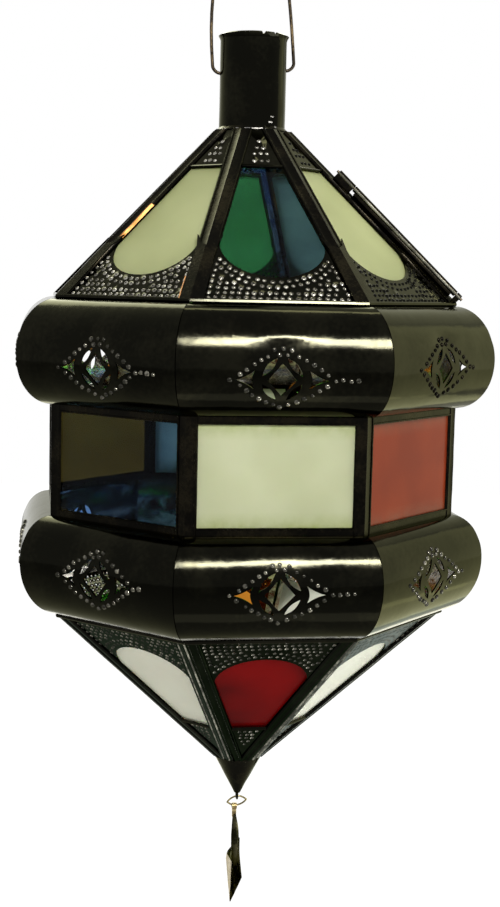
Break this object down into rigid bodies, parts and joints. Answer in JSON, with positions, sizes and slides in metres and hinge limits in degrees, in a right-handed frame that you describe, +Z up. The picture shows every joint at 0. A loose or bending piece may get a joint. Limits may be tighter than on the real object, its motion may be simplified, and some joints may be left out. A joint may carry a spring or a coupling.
{
  "type": "moroccan lantern",
  "caption": "Hanging octagonal lantern of pierced black sheet metal with coloured glass panes, half-round rings, hinged roof door, wire bail and pendant.",
  "frame": {"origin": "hanging point, where a hook bears inside the crown of the wire bail; everything else hangs below it", "axes": "+Z up along the lantern's axis, -Y out of the front panel, X along the bail's pivots"},
  "size_m": [0.249, 0.249, 0.5479],
  "materials": {
    "blackened_iron": "thin sheet iron, blackened and waxed to a satin shine, olive where it catches light",
    "dark_wire": "dark annealed wire",
    "brass": "dull brass",
    "zinc_steel": "zinc plated",
    "black_phenolic": "black moulded phenolic",
    "white_glass": "frosted cream white, a little green",
    "blue_glass": "clear blue",
    "red_glass": "clear deep red",
    "orange_glass": "fine textured orange red",
    "green_glass": "clear green",
    "amber_glass": "clear amber yellow"
  },
  "bodies": {
    "bail": {"bail_handle": "dark_wire"},
    "lantern": {"neck_tube": "blackened_iron", "roof_shell": "blackened_iron", "window_frame": "blackened_iron", "lower_shell": "blackened_iron", "finial_cone": "blackened_iron", "upper_bulge_0": "blackened_iron", "upper_bulge_1": "blackened_iron", "upper_bulge_2": "blackened_iron", "upper_bulge_3": "blackened_iron", "upper_bulge_4": "blackened_iron", "upper_bulge_5": "blackened_iron", "upper_bulge_6": "blackened_iron", "upper_bulge_7": "blackened_iron", "lower_bulge_0": "blackened_iron", "lower_bulge_1": "blackened_iron", "lower_bulge_2": "blackened_iron", "lower_bulge_3": "blackened_iron", "lower_bulge_4": "blackened_iron", "lower_bulge_5": "blackened_iron", "lower_bulge_6": "blackened_iron", "lower_bulge_7": "blackened_iron", "roof_glass_0": "blue_glass", "roof_glass_1": "white_glass", "roof_glass_3": "white_glass", "roof_glass_4": "green_glass", "roof_glass_5": "amber_glass", "roof_glass_6": "red_glass", "roof_glass_7": "white_glass", "window_glass_0": "white_glass", "window_glass_1": "orange_glass", "window_glass_2": "blue_glass", "window_glass_3": "green_glass", "window_glass_4": "white_glass", "window_glass_5": "amber_glass", "window_glass_6": "white_glass", "window_glass_7": "blue_glass", "lower_glass_0": "red_glass", "lower_glass_1": "white_glass", "lower_glass_2": "blue_glass", "lower_glass_3": "white_glass", "lower_glass_4": "amber_glass", "lower_glass_5": "green_glass", "lower_glass_6": "blue_glass", "lower_glass_7": "white_glass", "lamp_crossbar": "zinc_steel", "cord_nipple": "zinc_steel", "nipple_nut": "zinc_steel", "lampholder_cap": "black_phenolic", "lampholder_body": "black_phenolic", "hinge_pin": "dark_wire", "latch_rivet": "brass"},
    "door": {"door_leaf": "blackened_iron", "door_glass": "red_glass"},
    "latch": {"door_latch": "blackened_iron"},
    "ring": {"pendant_ring": "brass"},
    "pendant": {"pendant_leaf": "blackened_iron"}
  },
  "joints": [
    {"name": "lantern_swing", "type": "hinge", "parent": "bail", "child": "lantern", "pos_m": [0, 0, -0.082], "axis": [1, 0, 0], "range_deg": [-130, 130]},
    {"name": "door_hinge", "type": "hinge", "parent": "lantern", "child": "door", "pos_m": [0.07647, -0.03168, -0.1666], "axis": [0.6608, -0.2737, -0.6989], "range_deg": [0, 110]},
    {"name": "latch_turn", "type": "hinge", "parent": "lantern", "child": "latch", "pos_m": [0.07234, 0.02701, -0.16857], "axis": [-0.7266, 0, -0.687], "range_deg": [0, 90]},
    {"name": "ring_swing", "type": "hinge", "parent": "lantern", "child": "ring", "pos_m": [0, 0, -0.4831], "axis": [1, 0, 0], "range_deg": [-60, 60]},
    {"name": "pendant_swing", "type": "hinge", "parent": "ring", "child": "pendant", "pos_m": [0, 0, -0.4889], "axis": [1, 0, 0], "range_deg": [-60, 60]}
  ]
}
